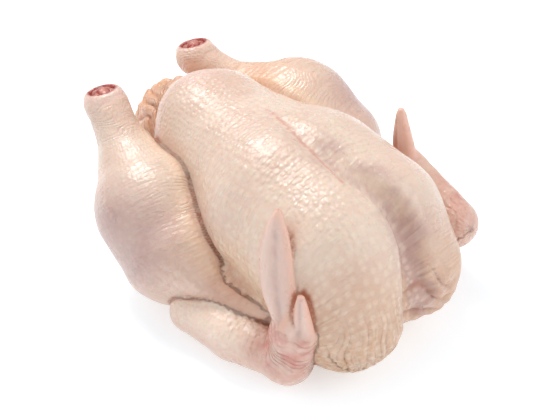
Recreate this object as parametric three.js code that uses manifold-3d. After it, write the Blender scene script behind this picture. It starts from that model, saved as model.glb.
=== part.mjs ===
// A whole raw chicken lying on its back, breast up, with both shanks cut off at the hock.
// Millimetres, +Z up, +X towards the neck end, +Y towards the bird's right side.
// The bird is one solid of muscle and skin, and the bone end in each cut hock is a piece of its own.
import * as THREE from 'three';
import { MarchingCubes } from 'three/addons/objects/MarchingCubes.js';
import { mergeVertices } from 'three/addons/utils/BufferGeometryUtils.js';
import Module from 'manifold-3d';

// Body
const BODY_LENGTH = 196; // trunk, from the vent to the neck end
const BODY_WIDTH = 108;
const BODY_HEIGHT = 80; // back to the middle of the breast muscles
const BODY_SINK = 2; // how far the round back is pressed flat on the table

// Limbs
const THIGH_RADIUS = 30;
const CALF_RADIUS = 30;
const SHIN_RADIUS = 14.5;
const SHANK_RADIUS = 9.5; // the thinnest place above the hock
const HOCK_RADIUS = 13;
const UPPER_ARM_RADIUS = 13;
const ELBOW_RADIUS = 11.5;
const FOREARM_RADIUS = 14.5;
const WRIST_RADIUS = 12.5;
const THUMB_RADIUS = 9; // round root of the thumb
const BLADE_THICKNESS = 0.62; // hand or thumb at its root, as a share of its width
const BLADE_TAPER = 0.36; // how much of that share is lost towards the tip

// How softly two shapes run into each other
const CREASE = 6; // a limb lying against the body
const SKIN = 9; // muscles under one skin

// Slack skin of the vent
const FOLD_DEPTH = 1.3;
const FOLD_PITCH = 11;

// Cut hock: the bone end sits in a socket in the cut face
const CUT_HEIGHT = 8.5; // cut face above the middle of the hock
const SOCKET_RADIUS = 8;
const SOCKET_DEPTH = 8;
const RIM = 0.8; // the skin stands this far above the knuckles of the bone
const KNUCKLE_RADIUS = 4.2;
const GAP = 0.3;
const CUP_FACETS = 20;
const KNUCKLE_FACETS = 16;

// Each side lies a little differently, as a real bird does.
const LEFT = -1;
const RIGHT = 1;
const POSE = {
  [LEFT]: {
    lobe: [[-60, -9, 63, 28], [-63, -5, 78, 25], [18, -13, 65, 44], [58, -17, 60, 42], [84, -27, 36, 31.5]],
    knee: [-22, -65, 34], calf: [-46, -60, 49], shin: [-74, -54, 66.5],
    shank: [-91, -50, 81], hock: [-102, -48, 90], cut: [-0.3, -0.02, 0.95],
    web: [[6, -70, 38, 10], [24, -66, 36, 6.5], [38, -63, 34.5, 5.5], [56, -57, 33.5, 4]],
    shoulder: [60, -42, 34], elbow: [9, -76.5, 16.5], forearm: [40, -71, 17], wrist: [74, -61, 17],
    palm: [[77, -65, 43, 9.5]], thumbRoot: [84, -60, 40],
    gap: [[10, -65, 25, 2.5], [36, -59, 27, 5.5], [60, -53, 31, 7.5]],
    facing: [0.35, -1, 0.3],
    hand: { root: [79, -66, 46], tip: [57, -52, 108], half: 10.2, bow: -4, waist: 0.6, full: 0.42 },
    thumb: { root: [84, -61, 42], tip: [83.5, -61.5, 76], half: 8.4, bow: 0.5, waist: 1, full: 0.1 },
  },
  [RIGHT]: {
    lobe: [[-60, 12, 64, 28], [-61, 8, 75, 25], [18, 12, 63, 43], [54, 18.5, 55, 40.5], [77, 27, 36, 31.5]],
    knee: [-24, 68, 46], calf: [-50, 61.5, 61.5], shin: [-80, 52.5, 65.5],
    shank: [-101, 42, 70], hock: [-117, 33, 83], cut: [-0.3, -0.02, 0.95],
    web: [[4, 67, 47, 10], [20, 63, 48, 7], [38, 58, 48, 5.5], [54, 53, 46, 4]],
    shoulder: [60, 42, 34], elbow: [5, 77, 16], forearm: [37, 78, 25], wrist: [72, 73.5, 36.5],
    palm: [[62, 75, 45, 10], [47, 75, 53.5, 8.5], [35, 74, 62, 7]], thumbRoot: [66, 77, 40],
    gap: [[6, 70, 34, 2.5], [32, 68, 39, 4.5], [58, 61, 47, 6]],
    facing: [0.2, 1, 0.15],
    hand: { root: [30, 74.5, 60], tip: [24.5, 72.5, 98], half: 9.6, bow: 0.5, waist: 0.9, full: 0.2 },
    thumb: { root: [66, 82, 36], tip: [48, 83, 55], half: 6.5, bow: 0, waist: 1, full: 0.1 },
  },
};

// Mesh
const GRID_STEP = 2.6;
const WELD = 1e-3; // points nearer than this are one
const GRID_HALF = 152;
const GRID_MIDDLE = 50;
const BIRD_TRIANGLES = 9000;
const MOST_CUBE_TRIANGLES = 120000;
const FOLD_SHARE = 0.25; // part of the edges that one round of thinning looks at
const EVENNESS = 0.002; // how much short edges are folded before long ones
const MOST_TURN = 0.3; // least cosine between a triangle's normals before and after a fold

// A field gives the distance from a point to a surface, negative inside.

// An ellipsoid, turned about Y by a number of degrees.
function ellipsoid([cx, cy, cz], [rx, ry, rz], lean = 0) {
  const cos = Math.cos(THREE.MathUtils.degToRad(lean));
  const sin = Math.sin(THREE.MathUtils.degToRad(lean));
  return (x, y, z) => {
    const u = (x - cx) * cos - (z - cz) * sin;
    const v = y - cy;
    const w = (x - cx) * sin + (z - cz) * cos;
    const reach = Math.hypot(u / rx, v / ry, w / rz);
    const slope = Math.hypot(u / rx ** 2, v / ry ** 2, w / rz ** 2);
    return slope < 1e-9 ? -Math.min(rx, ry, rz) : (reach * (reach - 1)) / slope;
  };
}

// A round cone from a to b.
function limb(a, b, ra, rb) {
  const start = new THREE.Vector3(...a);
  const axis = new THREE.Vector3(...b).sub(start);
  const length = axis.length();
  axis.normalize();
  const taper = (ra - rb) / length;
  const lean = Math.sqrt(1 - taper * taper);
  return (x, y, z) => {
    const dx = x - start.x;
    const dy = y - start.y;
    const dz = z - start.z;
    const along = dx * axis.x + dy * axis.y + dz * axis.z;
    const out = Math.sqrt(Math.max(0, dx * dx + dy * dy + dz * dz - along * along));
    const foot = lean * along - taper * out;
    if (foot < 0) return Math.hypot(out, along) - ra;
    if (foot > lean * length) return Math.hypot(out, along - length) - rb;
    return out * lean + along * taper - ra;
  };
}

// A flat pointed blade, as of a hand or a thumb. It narrows at its root to the share `waist`, bows
// sideways, and tapers to a point from the share `full` of its length on.
function blade({ root, tip, half, bow, waist, full }, facing) {
  const start = new THREE.Vector3(...root);
  const axis = new THREE.Vector3(...tip).sub(start);
  const length = axis.length();
  axis.normalize();
  const thin = new THREE.Vector3(...facing);
  thin.addScaledVector(axis, -thin.dot(axis)).normalize();
  const across = axis.clone().cross(thin);
  const point = new THREE.Vector3();
  return (x, y, z) => {
    point.set(x, y, z).sub(start);
    const along = point.dot(axis);
    const t = THREE.MathUtils.clamp(along / length, 0, 1);
    const swell = waist + (1 - waist) * THREE.MathUtils.smoothstep(t, 0, 0.35);
    const taper = Math.max(0, (t - full) / (1 - full)) ** (4.5 * full + 0.5);
    const wide = half * Math.max(swell - 0.97 * taper, 0.03);
    const thick = Math.min(wide, half * (BLADE_THICKNESS - BLADE_TAPER * t));
    const u = point.dot(across) - bow * 4 * t * (1 - t);
    const v = point.dot(thin);
    const reach = Math.hypot(u / wide, v / thick);
    const slope = Math.hypot(u / wide ** 2, v / thick ** 2) + 1e-9;
    const d = (reach * (reach - 1)) / slope;
    const over = Math.max(along - length, -along, 0);
    return over > 0 ? Math.hypot(Math.max(d, 0), over) : d;
  };
}

// Joins fields with a fillet about k wide.
function joined(k, ...fields) {
  return (x, y, z) => {
    let d = fields[0](x, y, z);
    for (let i = 1; i < fields.length; i++) {
      const next = fields[i](x, y, z);
      const h = Math.max(k - Math.abs(d - next), 0) / k;
      d = Math.min(d, next) - h * h * k * 0.25;
    }
    return d;
  };
}

// Takes cutters away from a field, with edges rounded by k.
function carved(k, field, ...cutters) {
  const left = joined(k, (x, y, z) => -field(x, y, z), ...cutters);
  return (x, y, z) => -left(x, y, z);
}

// Limbs through a row of stations, each [x, y, z, radius].
function chain(k, stations) {
  const limbs = stations.slice(1).map((to, i) => {
    const from = stations[i];
    return limb(from.slice(0, 3), to.slice(0, 3), from[3], to[3]);
  });
  return joined(k, ...limbs);
}

// Back, belly and shoulders.
function trunk() {
  const middle = BODY_HEIGHT / 2 - BODY_SINK;
  return joined(20,
    ellipsoid([0, 0, middle], [BODY_LENGTH / 2, BODY_WIDTH / 2, BODY_HEIGHT / 2]),
    ellipsoid([-60, 0, middle], [48, 50, 36]),
    ellipsoid([60, 0, 28], [38, 56, 25]));
}

function breast() {
  return joined(9, chain(14, POSE[LEFT].lobe), chain(14, POSE[RIGHT].lobe));
}

// Slack skin gathered in wavy folds between the end of the breast and the tail.
function vent() {
  const skin = ellipsoid([-87, 0, 50.5], [37.5, 29, 36.5]);
  return (x, y, z) => {
    const wave = z + 0.4 * y + 3 * Math.sin(y / 8) + 2.5 * Math.sin((x + z) / 7);
    return skin(x, y, z) + FOLD_DEPTH * Math.sin((wave / FOLD_PITCH) * 2 * Math.PI);
  };
}

function tail() {
  return joined(10,
    ellipsoid([-118, 0, 20], [24, 17, 12], -12),
    limb([-128, 0, 20], [-141, 0, 25], 9, 5.5));
}

function cutNormal(side) {
  return new THREE.Vector3(...POSE[side].cut).normalize();
}

// Everything above the cut face of a hock.
function aboveCut(side) {
  const n = cutNormal(side);
  const face = n.dot(new THREE.Vector3(...POSE[side].hock)) + CUT_HEIGHT;
  return (x, y, z) => face - (n.x * x + n.y * y + n.z * z);
}

function leg(side) {
  const { knee, calf, shin, shank, hock, web } = POSE[side];
  const drumstick = chain(12, [
    [...knee, THIGH_RADIUS],
    [...calf, CALF_RADIUS],
    [...shin, SHIN_RADIUS],
    [...shank, SHANK_RADIUS],
    [...hock, HOCK_RADIUS],
  ]);
  const thigh = ellipsoid([knee[0], side * 54, 34], [44, 30, 32]);
  return carved(3, joined(5, joined(SKIN, thigh, drumstick), chain(1, web)), aboveCut(side));
}

// Loose skin that runs from the thigh along the flank to the shoulder.
function flank(side) {
  const { knee, shoulder } = POSE[side];
  return limb([knee[0] + 20, knee[1] - side * 10, 30], shoulder, 20, 14);
}

function wing(side) {
  const { shoulder, elbow, forearm, wrist, palm, thumbRoot, facing, hand, thumb } = POSE[side];
  const upper = limb(shoulder, elbow, UPPER_ARM_RADIUS, ELBOW_RADIUS);
  const arm = joined(5,
    chain(2, [[...elbow, ELBOW_RADIUS], [...forearm, FOREARM_RADIUS], [...wrist, WRIST_RADIUS]]),
    limb(wrist, thumbRoot, WRIST_RADIUS, THUMB_RADIUS),
    chain(2, [[...wrist, WRIST_RADIUS], ...palm]));
  return joined(2.5, joined(2, arm, upper), joined(1.5, blade(hand, facing), blade(thumb, facing)));
}

// The valley beside the keel, deeper towards the neck.
function keelValley() {
  return chain(1, [
    [2, -2, 114, 2],
    [28, -5, 111.5, 3.5],
    [52, 0, 106, 6.5],
    [78, 7, 88, 9],
    [95, 8, 70, 9],
    [108, 5, 46, 9],
    [114, 4, 20, 8],
  ]);
}

// The deep notch at the neck end, between the two breast muscles.
function neckNotch() {
  return ellipsoid([114, 2, 34], [13, 5, 32]);
}

function bird() {
  const body = joined(SKIN, trunk(), tail(), flank(LEFT), flank(RIGHT));
  const dressed = joined(4, body, carved(10, breast(), keelValley()));
  const legs = joined(CREASE, dressed, vent(), leg(LEFT), leg(RIGHT));
  const armpits = carved(3, legs, chain(2, POSE[LEFT].gap), chain(2, POSE[RIGHT].gap));
  return carved(5, joined(3.5, armpits, wing(LEFT), wing(RIGHT)), neckNotch());
}

// The closed surface where a field is zero, sampled on an even grid.
function surfaceOf(field) {
  const half = Math.ceil(GRID_HALF / GRID_STEP);
  const cubes = new MarchingCubes(2 * half, new THREE.MeshBasicMaterial(), false, false, MOST_CUBE_TRIANGLES);
  cubes.isolation = 0;
  let i = 0;
  for (let z = -half; z < half; z++) {
    for (let y = -half; y < half; y++) {
      for (let x = -half; x < half; x++) {
        const d = field(x * GRID_STEP, y * GRID_STEP, z * GRID_STEP + GRID_MIDDLE);
        cubes.field[i++] = Math.abs(d) < WELD ? WELD : -d;
      }
    }
  }
  cubes.update();
  const points = cubes.positionArray.slice(0, cubes.count * 3).map((v) => v * half * GRID_STEP);
  const soup = new THREE.BufferGeometry();
  soup.setAttribute('position', new THREE.BufferAttribute(points, 3));
  return mergeVertices(soup, WELD).translate(0, 0, GRID_MIDDLE);
}

// The squared distance to a triangle's plane, times its area, as ten numbers of a symmetric matrix.
function planeError(a, b, c) {
  const cross = new THREE.Vector3().subVectors(b, a).cross(new THREE.Vector3().subVectors(c, a));
  const area = cross.length() / 2;
  const n = cross.normalize();
  const d = -n.dot(a);
  const [x, y, z] = n.toArray();
  return [x * x, x * y, x * z, x * d, y * y, y * z, y * d, z * z, z * d, d * d].map((v) => v * area);
}

function errorAt(e, { x, y, z }) {
  return e[0] * x * x + 2 * e[1] * x * y + 2 * e[2] * x * z + 2 * e[3] * x + e[4] * y * y
    + 2 * e[5] * y * z + 2 * e[6] * y + e[7] * z * z + 2 * e[8] * z + e[9];
}

// The point with the least error, or the edge's middle where that point is far off.
function bestPoint(e, a, b) {
  const middle = a.clone().lerp(b, 0.5);
  const matrix = new THREE.Matrix3().set(e[0], e[1], e[2], e[1], e[4], e[5], e[2], e[5], e[7]);
  if (Math.abs(matrix.determinant()) < 1e-6) return middle;
  const best = new THREE.Vector3(-e[3], -e[6], -e[8]).applyMatrix3(matrix.invert());
  return best.distanceTo(middle) < a.distanceTo(b) ? best : middle;
}

function normalOf(a, b, c) {
  return new THREE.Vector3().subVectors(b, a).cross(new THREE.Vector3().subVectors(c, a)).normalize();
}

// Whether an edge can be folded to one point with the surface closed and no triangle turned over.
function foldable({ from, to, point }, points, rings) {
  const round = (v) => new Set(rings[v].flat().filter((other) => other !== v));
  const shared = [...round(from)].filter((v) => round(to).has(v));
  if (shared.length !== 2) return false;
  for (const face of new Set([...rings[from], ...rings[to]])) {
    if (face.includes(from) && face.includes(to)) continue;
    const before = face.map((v) => points[v]);
    const after = face.map((v) => (v === from || v === to ? point : points[v]));
    if (normalOf(...before).dot(normalOf(...after)) < MOST_TURN) return false;
  }
  return true;
}

// Folds the edges that change a closed surface least until the wanted number of triangles is left.
function thinned(geometry, wanted) {
  const { position } = geometry.attributes;
  const points = [];
  for (let i = 0; i < position.count; i++) points.push(new THREE.Vector3().fromBufferAttribute(position, i));
  const errors = points.map(() => new Array(10).fill(0));
  let faces = [];
  for (let i = 0; i < geometry.index.count; i += 3) faces.push([...geometry.index.array.slice(i, i + 3)]);
  const add = (v, error) => error.forEach((value, k) => (errors[v][k] += value));
  for (const face of faces) {
    const error = planeError(...face.map((v) => points[v]));
    face.forEach((v) => add(v, error));
  }
  while (faces.length > wanted) {
    const rings = points.map(() => []);
    const folds = [];
    for (const face of faces) {
      face.forEach((from, k) => {
        rings[from].push(face);
        const to = face[(k + 1) % 3];
        if (from > to) return;
        const error = errors[from].map((value, j) => value + errors[to][j]);
        const point = bestPoint(error, points[from], points[to]);
        const length = points[from].distanceToSquared(points[to]);
        folds.push({ from, to, point, cost: errorAt(error, point) + EVENNESS * length });
      });
    }
    folds.sort((m, n) => m.cost - n.cost);
    const touched = new Set();
    let spare = faces.length - wanted;
    for (const fold of folds.slice(0, Math.ceil(folds.length * FOLD_SHARE))) {
      const { from, to, point } = fold;
      if (spare <= 0) break;
      if (touched.has(from) || touched.has(to) || !foldable(fold, points, rings)) continue;
      [...rings[from], ...rings[to]].flat().forEach((v) => touched.add(v));
      for (const face of rings[to]) face[face.indexOf(to)] = from;
      points[from].copy(point);
      add(from, errors[to]);
      spare -= 2;
    }
    faces = faces.filter(([a, b, c]) => a !== b && b !== c && c !== a);
  }
  const thin = new THREE.BufferGeometry().setFromPoints(points);
  thin.setIndex(faces.flat());
  return thin;
}

const wasm = await Module();
wasm.setup();

function solidOf(geometry) {
  const bare = new THREE.BufferGeometry();
  bare.setAttribute('position', geometry.toNonIndexed().getAttribute('position'));
  const merged = mergeVertices(bare, WELD);
  return new wasm.Manifold(new wasm.Mesh({
    numProp: 3,
    vertProperties: merged.attributes.position.array,
    triVerts: new Uint32Array(merged.index.array),
  }));
}

function geometryOf(solid) {
  const { vertProperties, triVerts } = solid.getMesh();
  const geometry = new THREE.BufferGeometry();
  geometry.setAttribute('position', new THREE.BufferAttribute(vertProperties, 3));
  geometry.setIndex(new THREE.BufferAttribute(triVerts, 1));
  geometry.computeVertexNormals();
  return geometry;
}

// Everything under the table's top.
function table() {
  const size = 4 * BODY_LENGTH;
  return solidOf(new THREE.BoxGeometry(size, size, size).translate(0, 0, -size / 2));
}

// Stands a shape made round the Y axis on the cut face of a hock.
function onCut(geometry, side) {
  const n = cutNormal(side);
  geometry.applyQuaternion(new THREE.Quaternion().setFromUnitVectors(new THREE.Vector3(0, 1, 0), n));
  const face = new THREE.Vector3(...POSE[side].hock).addScaledVector(n, CUT_HEIGHT);
  return solidOf(geometry.translate(...face));
}

// A round cup from the given depth to the given height over the cut face.
function plug(radius, depth, height) {
  const bend = radius / 2;
  const profile = [new THREE.Vector2(0, -depth)];
  for (let i = 0; i <= 4; i++) {
    const angle = (i / 4) * (Math.PI / 2);
    const out = radius - bend + bend * Math.sin(angle);
    profile.push(new THREE.Vector2(out, bend - depth - bend * Math.cos(angle)));
  }
  profile.push(new THREE.Vector2(radius, height), new THREE.Vector2(0, height));
  return new THREE.LatheGeometry(profile, CUP_FACETS);
}

// The end of the shank bone: two knuckles on a round base.
function boneEnd(side) {
  const radius = SOCKET_RADIUS - GAP;
  const depth = SOCKET_DEPTH - GAP;
  const middle = -RIM - KNUCKLE_RADIUS;
  const apart = radius - KNUCKLE_RADIUS;
  let bone = onCut(plug(radius, depth, middle + KNUCKLE_RADIUS / 2), side);
  for (const shift of [-apart, apart]) {
    const knuckle = new THREE.SphereGeometry(KNUCKLE_RADIUS, KNUCKLE_FACETS, KNUCKLE_FACETS / 2).translate(0, middle, shift);
    bone = bone.add(onCut(knuckle, side));
  }
  return bone.intersect(onCut(plug(radius, depth, 0), side));
}

function socket(side) {
  return onCut(plug(SOCKET_RADIUS, SOCKET_DEPTH, HOCK_RADIUS), side);
}

function carcass() {
  let solid = solidOf(thinned(surfaceOf(bird()), BIRD_TRIANGLES));
  for (const cutter of [table(), socket(LEFT), socket(RIGHT)]) solid = solid.subtract(cutter);
  return solid;
}

const skin = new THREE.MeshStandardMaterial({ color: 0xe9cdb9, roughness: 0.42 });
const bone = new THREE.MeshStandardMaterial({ color: 0xdb9d94, roughness: 0.35 });

const PARTS = [
  ['chicken', carcass(), skin],
  ['left_hock_bone', boneEnd(LEFT), bone],
  ['right_hock_bone', boneEnd(RIGHT), bone],
];

const bird3d = new THREE.Group();
for (const [name, solid, material] of PARTS) {
  const mesh = new THREE.Mesh(geometryOf(solid), material);
  mesh.name = name;
  bird3d.add(mesh);
}

// The origin is on the table, under the middle of the bird.
const middle = new THREE.Box3().setFromObject(bird3d).getCenter(new THREE.Vector3());
bird3d.position.set(-middle.x, -middle.y, 0);

const root = new THREE.Group();
root.add(bird3d);
export default root;
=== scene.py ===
"""A whole raw chicken on its back: fine skin over the solids, and knuckled bone ends in the cut hocks."""
import math

import bmesh
import bpy
import numpy as np
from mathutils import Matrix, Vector


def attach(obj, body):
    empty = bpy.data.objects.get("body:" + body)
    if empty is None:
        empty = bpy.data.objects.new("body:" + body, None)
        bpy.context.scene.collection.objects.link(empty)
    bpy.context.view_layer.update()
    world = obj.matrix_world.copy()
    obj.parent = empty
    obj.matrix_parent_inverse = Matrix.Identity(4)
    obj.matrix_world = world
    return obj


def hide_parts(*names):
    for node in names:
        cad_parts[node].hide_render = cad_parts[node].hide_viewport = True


bl_info = {
    "name": "Raw chicken",
    "version": (1, 0, 0),
    "blender": (4, 5, 0),
    "location": "3D View > Sidebar > Chicken",
    "description": "Builds a plucked raw chicken with moist skin, folded wings and cut hocks",
    "category": "Object",
}

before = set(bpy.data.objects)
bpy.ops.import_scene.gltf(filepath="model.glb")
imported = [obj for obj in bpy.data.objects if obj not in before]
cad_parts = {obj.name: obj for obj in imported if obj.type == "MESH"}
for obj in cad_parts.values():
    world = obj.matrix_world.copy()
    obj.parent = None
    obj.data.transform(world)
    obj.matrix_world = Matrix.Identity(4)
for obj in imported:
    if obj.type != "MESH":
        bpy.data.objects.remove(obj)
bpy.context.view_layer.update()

# Sizes and landmarks are in millimetres, in the bird's own frame, with its origin under the breast.
MM = 0.001
ORIGIN = np.array([15.55, -1.52, 0.0])  # that origin, seen from the middle of the whole bird

LEFT = -1
RIGHT = 1
SIDES = {"left": LEFT, "right": RIGHT}

THIGH_RADIUS = 30
CALF_RADIUS = 30
SHIN_RADIUS = 14.5
SHANK_RADIUS = 9.5
HOCK_RADIUS = 13
CUT_HEIGHT = 8.5  # cut face above the middle of the hock
SOCKET_RADIUS = 8.0
SOCKET_DEPTH = 7.0
UPPER_ARM_RADIUS = 13
ELBOW_RADIUS = 11.5
FOREARM_RADIUS = 14.5
WRIST_RADIUS = 12.5
THUMB_RADIUS = 9  # round root of the thumb

KNUCKLE_BASE = 5.2  # radius of the round base under the knuckles

# How the fine surfaces are laid and read
TABLE_GAP = 0.05  # least height of the skin over the table
SKIN_ROUNDS = 5  # times that the points are spread evenly
BONE_ROUNDS = 4
BLADE_REACH = 9  # a hand's skin lies within this of its middle plane
CREASE_REACH = 3.5  # creases are looked for this far over the skin

# The line over the keel where the skin is thin, from above
KEEL_LINE = [(-14, 3, 0), (7, -2, 0), (22, -5, 0), (34, -5.5, 0), (47, -7, 0), (62, -12, 0)]

# Middles of patches of the skin
SLACK = (104, 14, 34)  # lumpy slack skin between the breast muscles
TAIL_END = (-138, 0, 24)
VENT_TOP = (-98, -16, 78)
NEAR_FLANK = (32, -58, 52)
# NEAR_ARMPIT, FAR_ARM and FAR_HAND_ROOT are middles of painted shade.
NEAR_ARMPIT = (30, -62, 34)
NEAR_FOREARM = (40, -68, 26)
FAR_ARM = (46, 74, 42)
FAR_HAND_ROOT = (19, 74, 64)
FAR_SHIN = (-68, 48.5, 69.5)
FAR_HOCK_BACK = (-113, 27, 71)
PLEAT_CENTRE = (74, -27)  # the pleats round the near breast's front spread from here, seen from above

# Where the follicle rows bend down over the front of the breast, forward and up
FRONT_BEND = (55, 10)

# Lumps of each bone end: across, across the other way, height over the cut face, radius
KNUCKLES = {
    LEFT: [
        (-3.0, 0.6, -4.2, 4.3), (3.4, 1.8, -4.2, 4.0), (1.6, -4.0, -3.8, 3.4), (-3.2, -4.6, -3.8, 3.0),
        (-1.0, 5.0, -3.8, 3.0), (5.2, -2.0, -4.0, 2.6), (-5.4, 3.6, -3.8, 2.4),
    ],
    RIGHT: [
        (-1.2, 0.4, -4.2, 4.4), (4.4, -1.6, -4.0, 3.3), (3.2, 3.8, -3.8, 3.2), (-5.0, -3.0, -3.8, 2.8),
        (-3.8, 4.2, -3.8, 3.0), (0.4, -5.4, -3.8, 2.6),
    ],
}

# Each side lies a little differently, as a real bird does. Stations are points, or points with a radius.
# A blade has a half width, a bow to one side, a waist at its root and the share where its point begins.
POSE = {
    LEFT: {
        "lobe": [(-60, -9, 63, 28), (-63, -5, 78, 25), (18, -13, 65, 44), (58, -17, 60, 42),
                 (84, -27, 36, 31.5)],
        "knee": (-22, -65, 34),
        "calf": (-46, -60, 49),
        "shin": (-74, -54, 66.5),
        "shank": (-91, -50, 81),
        "hock": (-102, -48, 90),
        "cut": (-0.3, -0.02, 0.95),
        "shoulder": (60, -42, 34),
        "elbow": (9, -76.5, 16.5),
        "forearm": (40, -71, 17),
        "wrist": (74, -61, 17),
        "palm": [(77, -65, 43, 9.5)],
        "thumb_root": (84, -60, 40),
        "hand": {
            "root": (79, -66, 46), "tip": (57, -52, 108),
            "half": 10.2, "bow": -4.0, "waist": 0.6, "full": 0.42,
        },
        "thumb": {
            "root": (84, -61, 42), "tip": (83.5, -61.5, 76),
            "half": 8.4, "bow": 0.5, "waist": 1, "full": 0.1,
        },
        "facing": (0.35, -1, 0.3),
        "gap": [(10, -65, 25, 2.5), (36, -59, 27, 5.5), (60, -53, 31, 7.5)],
        "web": [(-8, -68, 45, 13), (8, -69.5, 38, 9.5), (24, -66, 36, 6.5), (38, -63, 34.5, 5.5),
                (56, -57, 33.5, 4)],
    },
    RIGHT: {
        "lobe": [(-60, 12, 64, 28), (-61, 8, 75, 25), (18, 12, 63, 43), (54, 18.5, 55, 40.5),
                 (77, 27, 36, 31.5)],
        "knee": (-24, 68, 46),
        "calf": (-50, 61.5, 61.5),
        "shin": (-80, 52.5, 65.5),
        "shank": (-101, 42, 70),
        "hock": (-117, 33, 83),
        "cut": (-0.3, -0.02, 0.95),
        "shoulder": (60, 42, 34),
        "elbow": (5, 77, 16),
        "forearm": (37, 78, 25),
        "wrist": (72, 73.5, 36.5),
        "palm": [(62, 75, 45, 10), (47, 75, 53.5, 8.5), (35, 74, 62, 7)],
        "thumb_root": (66, 77, 40),
        "hand": {
            "root": (30, 74.5, 60), "tip": (24.5, 72.5, 98),
            "half": 9.6, "bow": 0.5, "waist": 0.9, "full": 0.2,
        },
        "thumb": {
            "root": (66, 82, 36), "tip": (48, 83, 55),
            "half": 6.5, "bow": 0.0, "waist": 1, "full": 0.1,
        },
        "facing": (0.2, 1, 0.15),
        "gap": [(6, 70, 34, 2.5), (32, 68, 39, 4.5), (58, 61, 47, 6)],
        "web": [(4, 67, 47, 10), (20, 63, 48, 7), (38, 58, 48, 5.5), (54, 53, 46, 4)],
    },
}

# Soft lights: place and size in metres, power in watts
LIGHTS = {
    "key": ((-0.62, 0.12, 0.95), 0.5, 6.8),
    "fill": ((-0.2, -0.9, 1.0), 1.2, 2.2),
    "side": ((1.0, 0.5, 0.8), 1.2, 5.5),
}
LIT_POINT = (0, 0, 0.05)  # metres
SKY_STRENGTH = 0.58
TABLE_HALF = 3.0  # metres
VIEW_CENTRE = (0, 0, 43)
VIEW_AZIMUTH = 48  # degrees, round from straight in front of the left side
VIEW_HEIGHT = 39  # degrees above the table


def vec(point):
    return np.array(point, float)


def unit(v):
    v = vec(v)
    return v / np.linalg.norm(v)


def length_of(rows):
    return np.sqrt((rows * rows).sum(0))


# Fields: distance from points to a surface, negative inside. Points are the columns of a 3 x n array.

def ellipsoid(p, centre, radii, lean=0.0):
    """Ellipsoid turned about Y by a number of degrees."""
    cos, sin = math.cos(math.radians(lean)), math.sin(math.radians(lean))
    turn = np.array([[cos, 0, -sin], [0, 1, 0], [sin, 0, cos]])
    q = turn @ (p - vec(centre)[:, None])
    radii = vec(radii)[:, None]
    reach = length_of(q / radii)
    slope = length_of(q / radii ** 2) + 1e-9
    return reach * (reach - 1) / slope


def limb(p, a, b, ra, rb):
    """Round cone from a to b."""
    start = vec(a)[:, None]
    axis = vec(b) - vec(a)
    length = np.linalg.norm(axis)
    axis /= length
    taper = (ra - rb) / length
    lean = math.sqrt(1 - taper * taper)
    d = p - start
    along = axis @ d
    out = np.sqrt(np.maximum(0, (d * d).sum(0) - along * along))
    foot = lean * along - taper * out
    r = out * lean + along * taper - ra
    r = np.where(foot < 0, np.hypot(out, along) - ra, r)
    return np.where(foot > lean * length, np.hypot(out, along - length) - rb, r)


def joined(k, *fields):
    """Joins fields with a fillet about k wide."""
    d = fields[0]
    for other in fields[1:]:
        h = np.maximum(k - np.abs(d - other), 0) / k
        d = np.minimum(d, other) - h * h * k * 0.25
    return d


def carved(k, field, *cutters):
    return -joined(k, -field, *cutters)


def tucked(k, depth, width, a, b):
    """Joins two fields with a groove pressed along the line where they meet."""
    return joined(k, a, b) + depth * np.exp(-((a - b) / width) ** 2)


def chain(p, k, stations):
    pairs = zip(stations, stations[1:])
    return joined(k, *[limb(p, a[:3], b[:3], a[3], b[3]) for a, b in pairs])


def smooth(x, low, high):
    """0 below low, 1 above high, with a soft step between."""
    t = np.clip((x - low) / (high - low), 0, 1)
    return t * t * (3 - 2 * t)


def near(p, centre, radius):
    """1 at a point, fading to 0 at a radius."""
    return 1 - smooth(length_of(p - vec(centre)[:, None]), 0.25 * radius, radius)


def ripple(p, length, seed, count=7):
    """Uneven waves of about one length, between -1 and 1."""
    rng = np.random.default_rng(seed)
    total = 0
    for _ in range(count):
        turn = unit(rng.normal(size=3))
        size = length * rng.uniform(0.7, 1.5)
        total = total + np.sin(turn @ p * (2 * math.pi / size) + rng.uniform(0, 2 * math.pi))
    return total / count ** 0.5 * 0.7


def blade_frame(p, blade, facing):
    """Places of points along, across and through a blade, and its length."""
    root = vec(blade["root"])
    axis = vec(blade["tip"]) - root
    length = np.linalg.norm(axis)
    axis /= length
    thin = vec(facing)
    thin = unit(thin - axis * thin.dot(axis))
    across = np.cross(axis, thin)
    d = p - root[:, None]
    along = axis @ d
    t = np.clip(along / length, 0, 1)
    u = across @ d - blade["bow"] * 4 * t * (1 - t)
    return along, t, u, thin @ d, length


def blade_half(t, blade):
    """Half width along a blade, from its waist at the root to its pointed tip."""
    waist, full = blade["waist"], blade["full"]
    taper = np.maximum(0, (t - full) / (1 - full)) ** (4.5 * full + 0.5)
    share = waist + (1 - waist) * smooth(t, 0, 0.35) - 0.97 * taper
    return blade["half"] * np.maximum(share, 0.03)


def pointed(p, blade, facing):
    """Flat pointed blade, as of a hand or a thumb."""
    along, t, u, v, length = blade_frame(p, blade, facing)
    w = blade_half(t, blade)
    thick = np.minimum(w, blade["half"] * (0.62 - 0.36 * t))
    reach = np.hypot(u / w, v / thick)
    slope = np.hypot(u / w ** 2, v / thick ** 2) + 1e-9
    r = reach * (reach - 1) / slope
    over = np.maximum(np.maximum(along - length, -along), 0)
    return np.where(over > 0, np.hypot(np.maximum(r, 0), over), r)


def trunk(p):
    return joined(20, ellipsoid(p, (0, 0, 38), (98, 54, 40)), ellipsoid(p, (-60, 0, 38), (48, 50, 36)),
                  ellipsoid(p, (60, 0, 28), (38, 56, 25)))


def vent(p):
    return ellipsoid(p, (-87, 0, 51), (37.5, 29, 37.5))


def tail(p):
    return joined(10, ellipsoid(p, (-118, 0, 20), (24, 17, 12), -12),
                  limb(p, (-128, 0, 20), (-141, 0, 25), 9, 5.5))


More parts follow.
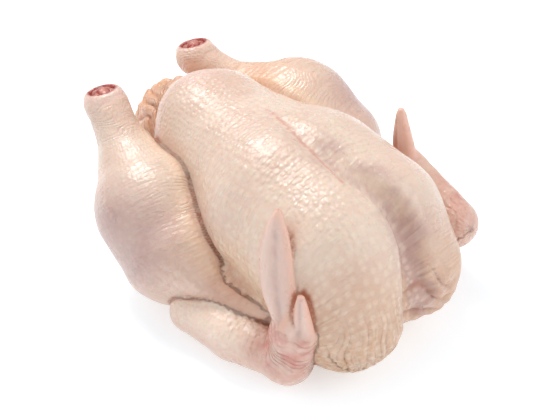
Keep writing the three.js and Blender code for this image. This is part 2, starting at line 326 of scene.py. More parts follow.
def cut_face(side):
    """Middle and outward direction of the cut face of a hock."""
    n = unit(POSE[side]["cut"])
    return vec(POSE[side]["hock"]) + n * CUT_HEIGHT, n


def leg(p, side):
    at = POSE[side]
    drumstick = chain(p, 12, [(*at["knee"], THIGH_RADIUS), (*at["calf"], CALF_RADIUS),
                              (*at["shin"], SHIN_RADIUS), (*at["shank"], SHANK_RADIUS),
                              (*at["hock"], HOCK_RADIUS)])
    thigh = ellipsoid(p, (at["knee"][0], side * 54, 34), (44, 30, 32))
    face, n = cut_face(side)
    web = chain(p, 0.5, at["web"])
    whole = carved(2.2, joined(12, joined(9, thigh, drumstick), web), n @ (face[:, None] - p))
    socket = limb(p, face + n * (SOCKET_RADIUS - SOCKET_DEPTH), face + n * 14, SOCKET_RADIUS, SOCKET_RADIUS)
    return carved(1.2, whole, socket)


def knuckles(p, side):
    """Distances to the lumps of a bone end, and to the round base under them."""
    face, n = cut_face(side)
    u = unit(np.cross(n, (0, 1, 0)))
    v = np.cross(n, u)
    lumps = [length_of(p - (face + a * u + b * v + h * n)[:, None]) - r for a, b, h, r in KNUCKLES[side]]
    base = limb(p, face - 4.0 * n, face - 5.4 * n, KNUCKLE_BASE, KNUCKLE_BASE)
    return lumps, base


def bone_end(p, side):
    lumps, base = knuckles(p, side)
    face, n = cut_face(side)
    across = p - face[:, None] - n[:, None] * (n @ (p - face[:, None]))
    return np.maximum(joined(0.7, base, *lumps), length_of(across) - (SOCKET_RADIUS - 0.3))


def flank(p, side):
    at = POSE[side]
    knee = at["knee"]
    return limb(p, (knee[0] + 20, knee[1] - side * 10, 30), at["shoulder"], 20, 14)


def wing(p, side):
    at = POSE[side]
    facing = at["facing"]
    upper = limb(p, at["shoulder"], at["elbow"], UPPER_ARM_RADIUS, ELBOW_RADIUS)
    fore = chain(p, 2, [(*at["elbow"], ELBOW_RADIUS), (*at["forearm"], FOREARM_RADIUS),
                        (*at["wrist"], WRIST_RADIUS + 0.5)])
    heel = limb(p, at["wrist"], at["thumb_root"], WRIST_RADIUS, THUMB_RADIUS)
    palm = chain(p, 2, [(*at["wrist"], WRIST_RADIUS), *at["palm"]])
    hand = tucked(1.5, 0.8, 1.0, pointed(p, at["hand"], facing), pointed(p, at["thumb"], facing))
    arm = joined(5, fore, heel, palm)
    return joined(2.5, joined(2, arm, upper), hand)


def keel_valley(p):
    """The valley beside the keel, deeper towards the neck."""
    return chain(p, 1, [(2, -2, 114, 2), (28, -5, 111.5, 3.5), (52, 0, 106, 6.5), (78, 7, 88, 9),
                        (95, 8, 70, 9), (108, 5, 46, 9), (114, 4, 20, 8)])


def regions(p):
    return {
        "trunk": trunk(p), "vent": vent(p), "tail": tail(p),
        "flank_left": flank(p, LEFT), "flank_right": flank(p, RIGHT),
        "breast_left": chain(p, 14, POSE[LEFT]["lobe"]), "breast_right": chain(p, 14, POSE[RIGHT]["lobe"]),
        "leg_left": leg(p, LEFT), "leg_right": leg(p, RIGHT),
        "wing_left": wing(p, LEFT), "wing_right": wing(p, RIGHT),
    }


def bird(p):
    """The whole bird's field."""
    r = regions(p)
    body = joined(9, r["trunk"], r["tail"], r["flank_left"], r["flank_right"])
    breast = carved(10, joined(9, r["breast_left"], r["breast_right"]), keel_valley(p))
    dressed = joined(4, body, breast)
    dressed = tucked(2, 1.5, 1.9, dressed, r["vent"])
    for side in SIDES:
        dressed = tucked(1.5, 0.5, 0.9, dressed, r["leg_" + side])
    gaps = [chain(p, 2, POSE[side]["gap"]) for side in SIDES.values()]
    dressed = carved(2.5, dressed, *gaps)
    whole = joined(1.5, dressed, r["wing_left"], r["wing_right"])
    return carved(5, whole, ellipsoid(p, (114, 2, 34), (13, 5, 32)))


def slope_of(p, field, step=0.35):
    """Outward direction of a field at each point, and how steep the field is there."""
    corners = np.array([[1, -1, -1], [-1, -1, 1], [-1, 1, -1], [1, 1, 1]], float)
    grad = sum(corner[:, None] * field(p + step * corner[:, None]) for corner in corners) / (4 * step)
    steep = length_of(grad) + 1e-9
    return grad / steep, steep


def neighbour_mean(p, edges):
    a, b = edges
    count = np.bincount(edges.ravel(), minlength=p.shape[1])
    rows = [np.bincount(a, row[b], p.shape[1]) + np.bincount(b, row[a], p.shape[1]) for row in p]
    return np.stack(rows) / count


def settle(p, edges, rounds, field):
    """Lays points on a field's surface, evenly spread."""
    for k in range(rounds + 2):
        normal, steep = slope_of(p, field)
        if k < rounds:
            shift = neighbour_mean(p, edges) - p
            p = p + 0.5 * (shift - normal * (shift * normal).sum(0))
        p = p - normal * np.clip(field(p) / np.maximum(steep, 0.4), -1.5, 1.5)
    return p


def valleys(wave):
    """Round folds from 0 to 1 with a narrow valley at each whole number."""
    return np.abs(np.sin(wave * math.pi)) ** 0.7


def slanted(p, direction, spacing, warp, seed):
    """Uneven folds across a direction, this far apart, about zero."""
    wave = unit(direction) @ p / spacing + warp * ripple(p, 5 * spacing, seed)
    return valleys(wave) - 0.65


def owners(r):
    """Distances to the breast and the wings, and how far leg, wing and vent own a point, from 0 to 1."""
    breast = np.minimum(r["breast_left"], r["breast_right"])
    legs = np.minimum(r["leg_left"], r["leg_right"])
    wings = np.minimum(r["wing_left"], r["wing_right"])
    flanks = np.minimum(r["flank_left"], r["flank_right"])
    body = np.minimum.reduce([breast, r["trunk"], flanks])
    on_leg = smooth(np.minimum(body, r["vent"]) - legs, -1, 2.5) * smooth(wings - legs, -2, 0)
    on_wing = smooth(np.minimum(body, legs) - wings, -1, 2)
    on_vent = smooth(np.minimum(np.minimum(breast, legs), r["tail"]) - r["vent"], -1.5, 1.5)
    return {"breast": breast, "wings": wings, "leg": on_leg, "wing": on_wing,
            "vent": on_vent * (1 - on_leg) * (1 - on_wing)}


def hand_masks(p, on_wing):
    """Where the hands and thumbs are, their pale rims and the groove along them."""
    rim = np.zeros(p.shape[1])
    groove = np.zeros(p.shape[1])
    blade_zone = np.zeros(p.shape[1])
    for side in SIDES.values():
        for name in ("hand", "thumb"):
            blade = POSE[side][name]
            _, t, u, v, _ = blade_frame(p, blade, POSE[side]["facing"])
            share = u / blade_half(t, blade)
            here = on_wing * (1 - smooth(np.abs(share), 1.3, 1.6)) * (np.abs(v) < BLADE_REACH)
            here = here * smooth(t, 0.02, 0.2)
            blade_zone = np.maximum(blade_zone, here)
            rim = np.maximum(rim, here * np.maximum(smooth(np.abs(share), 0.55, 0.95), smooth(t, 0.8, 1)))
            line = np.exp(-((share - 0.15) / 0.22) ** 2) * (1 - smooth(t, 0.75, 0.95))
            groove = np.maximum(groove, here * line)
    return blade_zone, rim, groove


def hem(p, own):
    """Low edge of the near breast: level pleats on its outer side, and upright ones round its front."""
    breast = (own["wings"] > 0.5) * (1 - own["leg"])
    skirt = smooth(-p[1], 22, 38) * (1 - smooth(p[2], 12, 44)) * smooth(p[0], 70, 86) * breast
    front = smooth(p[0], 96, 106) * (1 - smooth(p[2], 26, 70)) * (1 - smooth(p[1], -12, -4)) * breast
    return skirt, front


def slack_folds(p):
    return slanted(p, (0.1, 0.35, 0.9), 9, 0.9, 3)


def vent_folds(p):
    return slanted(p, (0.3, 0.5, 0.8), 7, 0.8, 5)


def round_front(p):
    """Angle of points round the front of the near breast."""
    return np.arctan2(p[1] - PLEAT_CENTRE[1], p[0] - PLEAT_CENTRE[0])


def wrist_knob(side):
    """Middle of the knobbly skin outside the wrist."""
    return vec(POSE[side]["palm"][0][:3]) + vec((2, 0, -8))


def relief(p, own, blade_zone, groove):
    """Height of the skin's own folds and slack, in millimetres."""
    height = (0.45 * ripple(p, 38, 1) + 0.18 * ripple(p, 14, 2)) * (1 - blade_zone)
    height += own["vent"] * (2.6 * vent_folds(p) + 0.8 * ripple(p, 7, 6))
    shin = near(p, FAR_SHIN, 52) * own["leg"]
    height += shin * 1.1 * slanted(p, (0.85, -0.2, 0.35), 6.5, 0.6, 8)
    lip = np.exp(-((own["breast"] - 6.5) / 4) ** 2) * own["leg"] * smooth(p[2], 30, 60)
    height += 1.4 * lip
    web = near(p, POSE[LEFT]["web"][1][:3], 34) * own["leg"]
    height += 0.7 * web * slanted(p, (0.45, 0.2, 0.9), 6, 0.4, 10)
    slack = near(p, SLACK, 30) * (1 - own["wing"])
    height += slack * (3.2 * slack_folds(p) + 1.2 * ripple(p, 9, 17))
    grain = near(p, NEAR_FOREARM, 34) * own["wing"] * (1 - blade_zone)
    height += 0.35 * grain * ripple(p, 5, 21)
    skirt, front = hem(p, own)
    height += 1.7 * skirt * slanted(p, (0, 0.1, 1), 5.2, 0.7, 18)
    height += 1.4 * front * (valleys(7 * round_front(p) + 0.5 * ripple(p, 24, 12)) - 0.65)
    tail_end = near(p, TAIL_END, 34) * (1 - own["vent"])
    height += tail_end * (0.9 * slanted(p, (0.9, 0, 0.3), 5, 0.6, 19) + 0.5 * ripple(p, 6, 20))
    for side in SIDES.values():
        height += 0.5 * near(p, POSE[side]["hock"], 22) * ripple(p, 6, 14)
    return height - 0.9 * groove


def fine_folds(p, own, blade_zone):
    """Fine pleats: which pleat a point lies in, counted up across them, and their depth there."""
    skirt, front = hem(p, own)
    waves = [
        (0.8 * skirt, p[2] / 2.7 + 0.8 * ripple(p, 20, 11)),
        (0.7 * front, 10.5 * round_front(p) + 0.8 * ripple(p, 24, 12)),
        (0.7 * own["vent"], unit((0.5, 0.6, 0.4)) @ p / 3.4 + 1.4 * ripple(p, 16, 15)),
    ]
    for side in SIDES.values():
        at = POSE[side]
        joint = near(p, wrist_knob(side), 30) * own["wing"] * (1 - blade_zone)
        waves.append((0.7 * joint, unit((0.5, 0.3 * side, 0.6)) @ p / 2.8 + 1.0 * ripple(p, 18, 13)))
        shank = np.maximum(near(p, at["shank"], 30), near(p, at["hock"], 24)) * own["leg"]
        waves.append((0.35 * shank, unit((0.5, 0.1, -0.85)) @ p / 2.4 + 1.6 * ripple(p, 12, 9)))
        inner = near(p, vec(at["calf"]) + vec((16, -12 * side, 20)), 34) * own["leg"]
        waves.append((0.3 * inner, unit((0.8, 0.3 * side, -0.2)) @ p / 2.6 + 1.4 * ripple(p, 16, 16)))
    count = np.zeros(p.shape[1])
    depth = np.zeros(p.shape[1])
    for mask, wave in waves:
        count = np.where(mask > depth, wave, count)
        depth = np.maximum(depth, mask)
    return count, depth


def tracts(p, own):
    """Where each point lies in the rows of feather follicles: along the limb and round it."""
    ahead = np.maximum(p[0] - FRONT_BEND[0], 0)
    high = p[2] - FRONT_BEND[1]
    turn = np.arctan2(ahead, np.maximum(high, 1e-3))
    along = np.minimum(p[0], FRONT_BEND[0]) + 72 * turn
    core = 45 - 20 * np.sin(turn)
    round_it = np.arctan2(p[1] + 10, np.hypot(ahead, high) - core) * 45
    for side in SIDES.values():
        at = POSE[side]
        for mask, start, end, radius in ((own["leg"], at["knee"], at["shank"], 28),
                                         (own["wing"], at["elbow"], at["wrist"], 14)):
            axis = unit(vec(end) - vec(start))
            out = vec((0.2, side, 0.5))
            out = unit(out - axis * axis.dot(out))
            d = p - vec(start)[:, None]
            here = (mask > 0.5) & (p[1] * side > 0)
            along = np.where(here, axis @ d, along)
            angle = np.arctan2(np.cross(axis, out) @ d, out @ d)
            round_it = np.where(here, angle * radius, round_it)
    return np.stack([along, round_it, np.zeros(p.shape[1])])


def side_masks(p, own, blade_zone):
    """Tints that lie alike on both sides: wrists, thighs, hocks and their cut faces."""
    masks = {name: np.zeros(p.shape[1]) for name in ("pink", "mauve", "cut", "lip", "hock")}
    for side in SIDES.values():
        at = POSE[side]
        thigh = 0.5 * vec(at["knee"]) + 0.5 * vec(at["calf"]) + vec((0, side * 26, 8))
        face, n = cut_face(side)
        high = n @ (p - face[:, None])
        out = length_of(p - face[:, None] - n[:, None] * high)
        found = {
            "pink": near(p, wrist_knob(side), 34) * own["wing"] * (1 - blade_zone),
            "mauve": near(p, thigh, 46) * own["leg"],
            "cut": smooth(high, -9, -8) * (1 - smooth(out, SOCKET_RADIUS + 0.3, SOCKET_RADIUS + 1.6)),
            "lip": smooth(high, -2.5, -0.5) * smooth(out, SOCKET_RADIUS, SOCKET_RADIUS + 2),
            "hock": near(p, at["hock"], 36),
        }
        for name, values in found.items():
            masks[name] = np.maximum(masks[name], values)
    return masks


def crease_shade_mask(p, normal, own):
    """Painted shade: brown laid into the narrow creases between parts, the armpits, the far arm, the far
    hand's root and the valleys of the slack and vent folds.
    """
    # Darker where little open space lies outside the skin, as shade falls in a crease.
    crease_shade = 1 - smooth(bird(p + CREASE_REACH * normal) / CREASE_REACH, 0.1, 0.65)
    slack = near(p, SLACK, 30) * (1 - smooth(slack_folds(p), -0.65, -0.1))
    vent = own["vent"] * (1 - smooth(vent_folds(p), -0.65, -0.15))
    crease_shade += 0.6 * np.maximum(slack, vent)
    crease_shade += 0.45 * near(p, NEAR_ARMPIT, 26) * (1 - own["wing"])
    crease_shade += 0.4 * near(p, FAR_ARM, 30) * own["wing"]
    crease_shade += 0.8 * near(p, FAR_HAND_ROOT, 20) * own["wing"]
    return np.clip(crease_shade, 0, 1)


def masks_of(p, normal, own, rim, groove, blade_zone):
    """Where each tint and grain of the skin lies, from 0 to 1."""
    leg, wing, vent = own["leg"], own["wing"], own["vent"]
    plain = (1 - leg) * (1 - vent) * (1 - wing)
    valley = (1 - smooth(keel_valley(p), -2, 17)) * smooth(p[0], 0, 40)
    # Painted light: the upper side of the near forearm is made paler, as if lit from above.
    pale = wing * smooth(p[2], 15, 25) * (1 - smooth(p[0], 48, 64)) * (p[1] < 0)
    leg_edge = np.exp(-((own["breast"] - 8) / 5) ** 2) * leg * smooth(p[2], 25, 50)
    flank = near(p, NEAR_FLANK, 34) * (1 - leg) * (1 - wing)
    tail_fat = 0.6 * near(p, TAIL_END, 40) * (1 - leg)
    tan_vent = vent * (0.3 + 0.7 * near(p, VENT_TOP, 46))
    tan_shin = np.maximum(near(p, FAR_SHIN, 50), near(p, FAR_HOCK_BACK, 26)) * leg
    top = smooth(p[2], 78, 98) * (1 - smooth(np.abs(p[1] + 6), 26, 44))
    dots = smooth(p[0], -60, -30) * (1 - smooth(p[1], 12, 30)) * plain
    flat = p * vec((1, 1, 0))[:, None]
    keel = 1 - smooth(chain(flat, 0.5, [(*point, 0.4) for point in KEEL_LINE]), 0, 1.1)
    masks = {
        "wing": wing,
        "vent": np.maximum(tan_vent, 0.6 * tan_shin),
        "crease_shade": crease_shade_mask(p, normal, own),
        "pale": pale,
        "valley": np.maximum(valley, near(p, SLACK, 30)),
        "fat": np.maximum.reduce([leg_edge, flank, tail_fat]),
        "rim": rim,
        "groove": groove,
        "blade": blade_zone,
        "beads": np.clip(0.3 * plain + 0.7 * top + flank + wing + 0.4 * leg - blade_zone, 0, 1),
        "dots": np.clip(dots + flank + 0.4 * wing + 0.3 * leg - blade_zone, 0, 1),
        # Partly the skin's own yellow-tan, partly painted shade: darker towards the bottom of the breast's
        # front.
        "low": (1 - smooth(p[2], 28, 92)) * smooth(p[0], 20, 70) * plain,
        "keel": keel * (p[2] > 80),
    }
    masks.update(side_masks(p, own, blade_zone))
    masks["pleat"], masks["pleat_depth"] = fine_folds(p, own, blade_zone)
    return masks


# Meshes

def mesh_points(mesh):
    """A mesh's points in the bird's own millimetres."""
    co = np.empty(len(mesh.vertices) * 3, np.float32)
    mesh.vertices.foreach_get("co", co)
    return co.reshape(-1, 3).T.astype(float) / MM - ORIGIN[:, None]


def mesh_edges(mesh):
    edges = np.empty(len(mesh.edges) * 2, np.int32)
    mesh.edges.foreach_get("vertices", edges)
    return edges.reshape(-1, 2).T.copy()


def set_points(mesh, points):
    """Moves a mesh's points to places in the bird's own millimetres."""
    places = (points + ORIGIN[:, None]) * MM
    mesh.vertices.foreach_set("co", places.T.astype(np.float32).ravel())
    mesh.update()


def give_material(mesh, material):
    mesh.shade_smooth()
    mesh.materials.clear()
    mesh.materials.append(material)


def remeshed_copy(source, name, voxel):
    """A closed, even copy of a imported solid."""
    shell = bmesh.new()
    shell.from_mesh(source.data)
    bmesh.ops.remove_doubles(shell, verts=shell.verts, dist=1e-6)
    mesh = bpy.data.meshes.new(name)
    shell.to_mesh(mesh)
    shell.free()
    piece = bpy.data.objects.new(name, mesh)
    bpy.context.scene.collection.objects.link(piece)
    even = piece.modifiers.new("even", "REMESH")
    even.mode = "VOXEL"
    even.voxel_size = voxel
    graph = bpy.context.evaluated_depsgraph_get()
    made = bpy.data.meshes.new_from_object(piece.evaluated_get(graph))
    piece.modifiers.clear()
    piece.data = made
    bpy.data.meshes.remove(mesh)
    made.name = name
    return piece


def add_masks(mesh, masks):
    for name, values in masks.items():
        layer = mesh.attributes.new(name, "FLOAT", "POINT")
        layer.data.foreach_set("value", values.astype(np.float32))


def add_places(mesh, name, places):
    layer = mesh.attributes.new(name, "FLOAT_VECTOR", "POINT")
    layer.data.foreach_set("vector", places.T.astype(np.float32).ravel())


# Materials

def srgb(r, g, b):
    """A screen colour, 0 to 255, as linear light."""
    def line(v):
        v /= 255
        return v / 12.92 if v <= 0.04045 else ((v + 0.055) / 1.055) ** 2.4
    return (line(r), line(g), line(b), 1.0)


class Shader:
    """A material's node tree with short calls."""

    def __init__(self, name):
        self.material = bpy.data.materials.new(name)
        self.material.use_nodes = True
        self.tree = self.material.node_tree
        self.tree.nodes.clear()
        self.surface = self.node("ShaderNodeBsdfPrincipled")
        output = self.node("ShaderNodeOutputMaterial")
        self.link(self.surface.outputs["BSDF"], output.inputs["Surface"])
        self.coords = self.node("ShaderNodeTexCoord").outputs["Object"]

    def node(self, kind, **settings):
        made = self.tree.nodes.new(kind)
        for key, value in settings.items():
            setattr(made, key, value)
        return made

    def link(self, source, target):
        self.tree.links.new(source, target)

    def put(self, target, value):
        if isinstance(value, bpy.types.NodeSocket):
            self.link(value, target)
        else:
            target.default_value = value

    def mask(self, name):
        return self.node("ShaderNodeAttribute", attribute_name=name).outputs["Fac"]

    def math(self, operation, a, b=0.0, c=0.0):
        made = self.node("ShaderNodeMath", operation=operation)
        for socket, value in zip(made.inputs, (a, b, c)):
            self.put(socket, value)
        return made.outputs[0]

    def mix(self, share, a, b):
        made = self.node("ShaderNodeMix", data_type="RGBA")
        self.put(made.inputs["Factor"], share)
        self.put(made.inputs[6], a)
        self.put(made.inputs[7], b)
        return made.outputs[2]

    def stretched(self, place, scale):
        made = self.node("ShaderNodeMapping")
        self.link(place, made.inputs["Vector"])
        made.inputs["Scale"].default_value = scale
        return made.outputs["Vector"]

    def noise(self, scale, detail=3.0, distortion=0.0, place=None):
        made = self.node("ShaderNodeTexNoise")
        self.link(place or self.coords, made.inputs["Vector"])
        made.inputs["Scale"].default_value = scale
        made.inputs["Detail"].default_value = detail
        made.inputs["Distortion"].default_value = distortion
        return made.outputs["Fac"]

    def cells(self, place, scale, evenness):
        made = self.node("ShaderNodeTexVoronoi", feature="F1", voronoi_dimensions="2D")
        self.link(place, made.inputs["Vector"])
        made.inputs["Scale"].default_value = scale
        made.inputs["Randomness"].default_value = evenness
        return made.outputs["Distance"]

    def between(self, value, low, high, start=0.0, end=1.0):
        made = self.node("ShaderNodeMapRange", interpolation_type="SMOOTHSTEP")
        self.put(made.inputs["Value"], value)
        made.inputs["From Min"].default_value = low
        made.inputs["From Max"].default_value = high
        made.inputs["To Min"].default_value = start
        made.inputs["To Max"].default_value = end
        return made.outputs["Result"]

    def bump(self, height, distance):
        made = self.node("ShaderNodeBump")
        self.link(height, made.inputs["Height"])
        made.inputs["Distance"].default_value = distance
        return made.outputs["Normal"]

    def tint(self, color, name, share, over):
        """Lays a colour over another where a named mask lies."""
        return self.mix(self.math("MULTIPLY", self.mask(name), share), color, over)

    def soft_below(self, color, depth):
        """Lets light of this colour spread under the surface, at most this far in metres."""
        self.surface.inputs["Subsurface Weight"].default_value = 0.3
        self.surface.inputs["Subsurface Radius"].default_value = color
        self.surface.inputs["Subsurface Scale"].default_value = depth


def skin_color(s, looks, blotch, patch, dots, pleat):
    color = s.mix(s.between(blotch, 0.35, 0.65), looks.cream, looks.blush)
    color = s.mix(s.between(patch, 0.45, 0.75, 0.0, 0.5), color, looks.rosy)
    color = s.tint(color, "wing", 0.6, looks.rosy)
    # Painted light on the upper side of the near forearm.
    color = s.tint(color, "pale", 0.8, looks.pale)
    # Partly the skin's own yellow-tan, partly painted shade low on the breast's front.
    color = s.tint(color, "low", s.between(patch, 0.3, 0.6, 0.45, 0.95), looks.sallow_and_shade)
    color = s.tint(color, "valley", s.between(patch, 0.35, 0.6, 0.05, 0.75), looks.mauve)
    color = s.tint(color, "mauve", s.between(blotch, 0.25, 0.6, 0.5, 0.95), looks.mauve)
    color = s.tint(color, "fat", 0.55, looks.fat)
    color = s.tint(color, "vent", s.between(patch, 0.3, 0.6, 0.6, 1.0), looks.tan)
    color = s.tint(color, "hock", 0.5, looks.rosy)
    color = s.tint(color, "pink", s.between(s.noise(110.0, 4.0), 0.35, 0.65, 0.2, 0.8), looks.pink)
    color = s.tint(color, "blade", 0.7, looks.blade)
    color = s.tint(color, "groove", s.between(s.noise(90.0, 3.0), 0.35, 0.6, 0.1, 0.55), looks.mauve)
    color = s.tint(color, "rim", 0.6, looks.edge)
    # Painted shade: brown laid into the creases and hollows.
    color = s.tint(color, "crease_shade", s.between(blotch, 0.3, 0.6, 0.45, 0.9), looks.shade_brown)
    # Painted shade: brown laid into the valley of each fine pleat.
    color = s.mix(s.math("MULTIPLY", pleat, 0.4), color, looks.shade_brown)
    color = s.tint(color, "keel", 0.55, looks.pink)
    color = s.mix(s.math("MULTIPLY", dots, s.math("MULTIPLY", s.mask("dots"), 0.3)), color, looks.dot)
    color = s.mix(s.between(s.noise(260.0, 3.0), 0.45, 0.75, 0.0, 0.16), color, looks.blush)
    color = s.tint(color, "lip", 0.6, looks.rim_skin)
    return s.mix(s.mask("cut"), color, looks.flesh)


def skin_relief(s, rows, dots, wave, pleat_depth):
    """Height of the skin's grain: beads and dots of the follicle rows, pleats, streaks and fine noise."""
    beads = s.between(s.cells(rows, 0.31, 0.55), 0.08, 0.5, 1.0, 0.0)
    ridge = s.math("POWER", wave, 0.6)
    streaks = s.noise(1.0, 4.0, 0.4, s.stretched(rows, (0.45, 0.07, 1.0)))
    height = s.math("MULTIPLY", beads, s.math("MULTIPLY_ADD", s.mask("beads"), 0.42, 0.04))
    height = s.math("MULTIPLY_ADD", dots, s.math("MULTIPLY", s.mask("dots"), 0.2), height)
    height = s.math("MULTIPLY_ADD", ridge, s.math("MULTIPLY", pleat_depth, 2.0), height)
    height = s.math("MULTIPLY_ADD", streaks, 1.1, height)
    height = s.math("MULTIPLY_ADD", s.noise(380.0, 3.0), 0.6, height)
    return s.math("MULTIPLY_ADD", s.noise(900.0, 2.0), 0.15, height)


def skin_material(looks):
    s = Shader("raw_skin")
    rows = s.node("ShaderNodeAttribute", attribute_name="rows").outputs["Vector"]
    blotch = s.noise(16.0, 4.0, 0.6)
    patch = s.noise(45.0, 3.0, 0.3)
    dots = s.between(s.cells(rows, 0.19, 0.6), 0.1, 0.45, 1.0, 0.0)
    wave = s.math("ABSOLUTE", s.math("SINE", s.math("MULTIPLY", s.mask("pleat"), math.pi)))
    broken = s.between(s.noise(85.0, 3.0), 0.38, 0.6, 0.3, 1.0)
    pleat_depth = s.math("MULTIPLY", s.mask("pleat_depth"), broken)
    # Painted shade of the pleats: 1 in each valley and 0 on the crest, times their depth.
    pleat = s.math("MULTIPLY", s.between(wave, 0.0, 0.6, 1.0, 0.0), pleat_depth)
    s.link(skin_color(s, looks, blotch, patch, dots, pleat), s.surface.inputs["Base Color"])
    rough = s.between(s.noise(70.0, 3.0), 0.35, 0.7, looks.gloss_low, looks.gloss_high)
    rough = s.math("MULTIPLY_ADD", s.mask("crease_shade"), 0.5, rough)
    s.link(rough, s.surface.inputs["Roughness"])
    s.link(s.bump(skin_relief(s, rows, dots, wave, pleat_depth), 0.0006), s.surface.inputs["Normal"])
    s.link(s.between(s.noise(24.0, 3.0), 0.35, 0.6, 0.0, 0.15), s.surface.inputs["Coat Weight"])
    s.surface.inputs["Coat Roughness"].default_value = 0.2
    s.surface.inputs["Specular IOR Level"].default_value = 0.9
    s.surface.inputs["IOR"].default_value = 1.42
    s.soft_below((1.0, 0.4, 0.25), 0.003)
    return s.material


def bone_material(looks):
    s = Shader("bone_end")
    patch = s.noise(260.0, 3.0, 0.4)
    color = s.mix(s.between(patch, 0.4, 0.65, 0.0, 0.6), looks.cartilage, looks.pink)
    color = s.mix(s.mask("crevice"), color, looks.flesh)
    s.link(color, s.surface.inputs["Base Color"])
    s.link(s.between(patch, 0.3, 0.7, 0.18, 0.35), s.surface.inputs["Roughness"])
    s.link(s.bump(s.noise(700.0, 2.0), 0.0003), s.surface.inputs["Normal"])
    s.soft_below((1.0, 0.4, 0.3), 0.002)
    return s.material


def table_material(looks):
    s = Shader("pale_table")
    s.surface.inputs["Base Color"].default_value = looks.table
    s.surface.inputs["Roughness"].default_value = 0.9
    s.surface.inputs["Emission Color"].default_value = (1.0, 1.0, 1.0, 1.0)
    s.surface.inputs["Emission Strength"].default_value = 0.42
    return s.material


def color_property(name, description, default):
    return bpy.props.FloatVectorProperty(
        name=name, description=description, default=default, size=4, subtype="COLOR", min=0, max=1)


class ChickenLooks(bpy.types.PropertyGroup):
    """Colours and finish of the bird."""

    blade: color_property("Hand", "Flat pale skin of hand and thumb", srgb(234, 204, 192))
    edge: color_property("Edge", "Fatty rims of hand and thumb", srgb(236, 184, 162))
    # Painted shade in the creases, hollows and pleat valleys.
    shade_brown: color_property("Deep", "Brown shade down in the creases", srgb(176, 92, 52))
    dot: color_property("Dot", "Pale fat round each feather follicle", srgb(244, 226, 204))
    cream: color_property("Cream", "Pale skin of the breast", srgb(231, 208, 190))
    blush: color_property("Blush", "Pinker skin between the pale patches", srgb(222, 190, 172))
    rosy: color_property("Rosy", "Skin of legs and wings", srgb(228, 193, 176))
    mauve: color_property("Mauve", "Skin where dark meat shows through", srgb(190, 155, 150))
    fat: color_property("Fat", "Skin over yellow fat", srgb(238, 204, 172))
    tan: color_property("Tan", "Slack vent skin", srgb(226, 172, 134))
    pink: color_property("Pink", "Wrists and wing tips", srgb(206, 128, 116))
    flesh: color_property("Flesh", "Raw flesh in the cut hock", srgb(168, 62, 58))
    cartilage: color_property("Cartilage", "Knuckles of the bone end", srgb(186, 124, 108))
    rim_skin: color_property("Rim skin", "Skin round the cut face", srgb(232, 200, 188))
    # Painted light: the lit upper side of the near forearm.
    pale: color_property("Pale", "Upper edge of the forearm", srgb(250, 228, 210))
    # Partly the skin's own yellow-tan, partly painted shade low on the breast's front.
    sallow_and_shade: color_property("Sallow", "Slack skin low at the neck end", srgb(206, 162, 124))
    table: color_property("Table", "Pale table top", (0.72, 0.79, 0.85, 1.0))
    gloss_low: bpy.props.FloatProperty(
        name="Wettest", description="Roughness of the wettest skin", default=0.26, min=0, max=1)
    gloss_high: bpy.props.FloatProperty(
        name="Driest", description="Roughness of the driest skin", default=0.42, min=0, max=1)


class ChickenSizes(bpy.types.PropertyGroup):
    """Spacing of the fine surfaces' points, and the camera."""

    voxel: bpy.props.FloatProperty(
        name="Skin step", description="Spacing of the skin's points", default=1.38 * MM, unit="LENGTH")
    bone_voxel: bpy.props.FloatProperty(
        name="Bone step", description="Spacing of the bone ends' points", default=0.45 * MM, unit="LENGTH")
    camera_distance: bpy.props.FloatProperty(
        name="Camera distance", description="From the middle of the bird", default=0.70, unit="LENGTH")
    camera_lens: bpy.props.FloatProperty(
        name="Lens", description="Focal length on a 36 mm sensor", default=76.05, unit="CAMERA")


class BuildSkin(bpy.types.Operator):
    """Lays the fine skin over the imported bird"""

    bl_idname = "chicken.skin"
    bl_label = "Skin"

    def execute(self, context):
        scene = context.scene
        piece = remeshed_copy(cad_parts["chicken"], "raw_chicken", scene.chicken_sizes.voxel)
        p = settle(mesh_points(piece.data), mesh_edges(piece.data), SKIN_ROUNDS, bird)
        own = owners(regions(p))
        blade_zone, rim, groove = hand_masks(p, own["wing"])
        normal, _ = slope_of(p, bird)
        masks = masks_of(p, normal, own, rim, groove, blade_zone)
        rows = tracts(p, own)
        p = p + normal * relief(p, own, blade_zone, groove) * (1 - masks["cut"]) * (1 - masks["lip"])
        p[2] = np.maximum(p[2], TABLE_GAP)
        set_points(piece.data, p)
        add_masks(piece.data, masks)
        add_places(piece.data, "rows", rows)
        give_material(piece.data, skin_material(scene.chicken_looks))
        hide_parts("chicken")
        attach(piece, "root")
        return {"FINISHED"}


class BuildBones(bpy.types.Operator):
    """Fills the hocks with knuckled bone ends"""

    bl_idname = "chicken.bones"
    bl_label = "Bone ends"

    def execute(self, context):
        material = bone_material(context.scene.chicken_looks)
        voxel = context.scene.chicken_sizes.bone_voxel
        for name, side in SIDES.items():
            piece = remeshed_copy(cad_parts[f"{name}_hock_bone"], f"{name}_knuckles", voxel)
            p = mesh_points(piece.data)
            p = settle(p, mesh_edges(piece.data), BONE_ROUNDS, lambda q: bone_end(q, side))
            lumps, _ = knuckles(p, side)
            nearest = np.sort(np.stack(lumps), axis=0)
            add_masks(piece.data, {"crevice": 1 - smooth(nearest[1] - nearest[0], 0.2, 1.3)})
            set_points(piece.data, p)
            give_material(piece.data, material)
            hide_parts(f"{name}_hock_bone")
            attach(piece, "root")
        return {"FINISHED"}


def make_table(looks):
    shell = bmesh.new()
    bmesh.ops.create_grid(shell, x_segments=1, y_segments=1, size=TABLE_HALF)
    mesh = bpy.data.meshes.new("table_top")
    shell.to_mesh(mesh)
    shell.free()
    mesh.materials.append(table_material(looks))
    table = bpy.data.objects.new("table_top", mesh)
    bpy.context.scene.collection.objects.link(table)


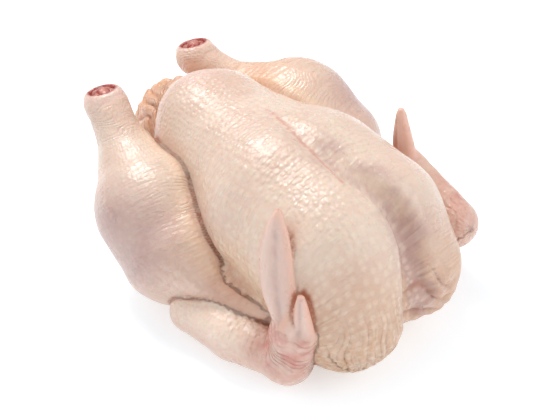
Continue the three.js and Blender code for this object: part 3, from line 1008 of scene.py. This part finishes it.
def make_sky():
    world = bpy.data.worlds.new("studio")
    world.use_nodes = True
    sky = world.node_tree.nodes["Background"]
    sky.inputs["Color"].default_value = (1.0, 1.0, 1.0, 1.0)
    sky.inputs["Strength"].default_value = SKY_STRENGTH
    bpy.context.scene.world = world


def make_light(name, place, size, watts):
    data = bpy.data.lights.new(name, "AREA")
    data.shape = "DISK"
    data.size = size
    data.energy = watts
    lamp = bpy.data.objects.new(name, data)
    lamp.location = place
    lamp.rotation_euler = (Vector(LIT_POINT) - Vector(place)).to_track_quat("-Z", "Y").to_euler()
    bpy.context.scene.collection.objects.link(lamp)


def make_camera(sizes):
    target = Vector((ORIGIN + vec(VIEW_CENTRE)) * MM)
    azimuth, height = math.radians(VIEW_AZIMUTH), math.radians(VIEW_HEIGHT)
    level = math.cos(height)
    back = Vector((math.sin(azimuth) * level, -math.cos(azimuth) * level, math.sin(height)))
    data = bpy.data.cameras.new("camera")
    data.lens = sizes.camera_lens
    data.sensor_width = 36.0
    data.clip_start = 0.01
    camera = bpy.data.objects.new("camera", data)
    camera.location = target + back * sizes.camera_distance
    camera.rotation_euler = (-back).to_track_quat("-Z", "Y").to_euler()
    bpy.context.scene.collection.objects.link(camera)
    return camera


class BuildStage(bpy.types.Operator):
    """Adds the pale table, the soft light and the camera"""

    bl_idname = "chicken.stage"
    bl_label = "Stage"

    def execute(self, context):
        scene = context.scene
        make_table(scene.chicken_looks)
        make_sky()
        for name, (place, size, watts) in LIGHTS.items():
            make_light(name, place, size, watts)
        scene.camera = make_camera(scene.chicken_sizes)
        scene.view_settings.view_transform = "Standard"
        return {"FINISHED"}


class ChickenPanel(bpy.types.Panel):
    """Lists the steps that build the bird"""

    bl_idname = "VIEW3D_PT_chicken"
    bl_label = "Raw chicken"
    bl_space_type = "VIEW_3D"
    bl_region_type = "UI"
    bl_category = "Chicken"

    def draw(self, context):
        for step in STEPS:
            self.layout.operator(step.bl_idname)


STEPS = (BuildSkin, BuildBones, BuildStage)
CLASSES = (ChickenLooks, ChickenSizes, *STEPS, ChickenPanel)


def register():
    for cls in CLASSES:
        bpy.utils.register_class(cls)
    bpy.types.Scene.chicken_looks = bpy.props.PointerProperty(type=ChickenLooks)
    bpy.types.Scene.chicken_sizes = bpy.props.PointerProperty(type=ChickenSizes)


def unregister():
    del bpy.types.Scene.chicken_sizes
    del bpy.types.Scene.chicken_looks
    for cls in reversed(CLASSES):
        bpy.utils.unregister_class(cls)


def main():
    register()
    bpy.ops.chicken.stage()
    bpy.ops.chicken.skin()
    bpy.ops.chicken.bones()


if __name__ == "__main__":
    main()
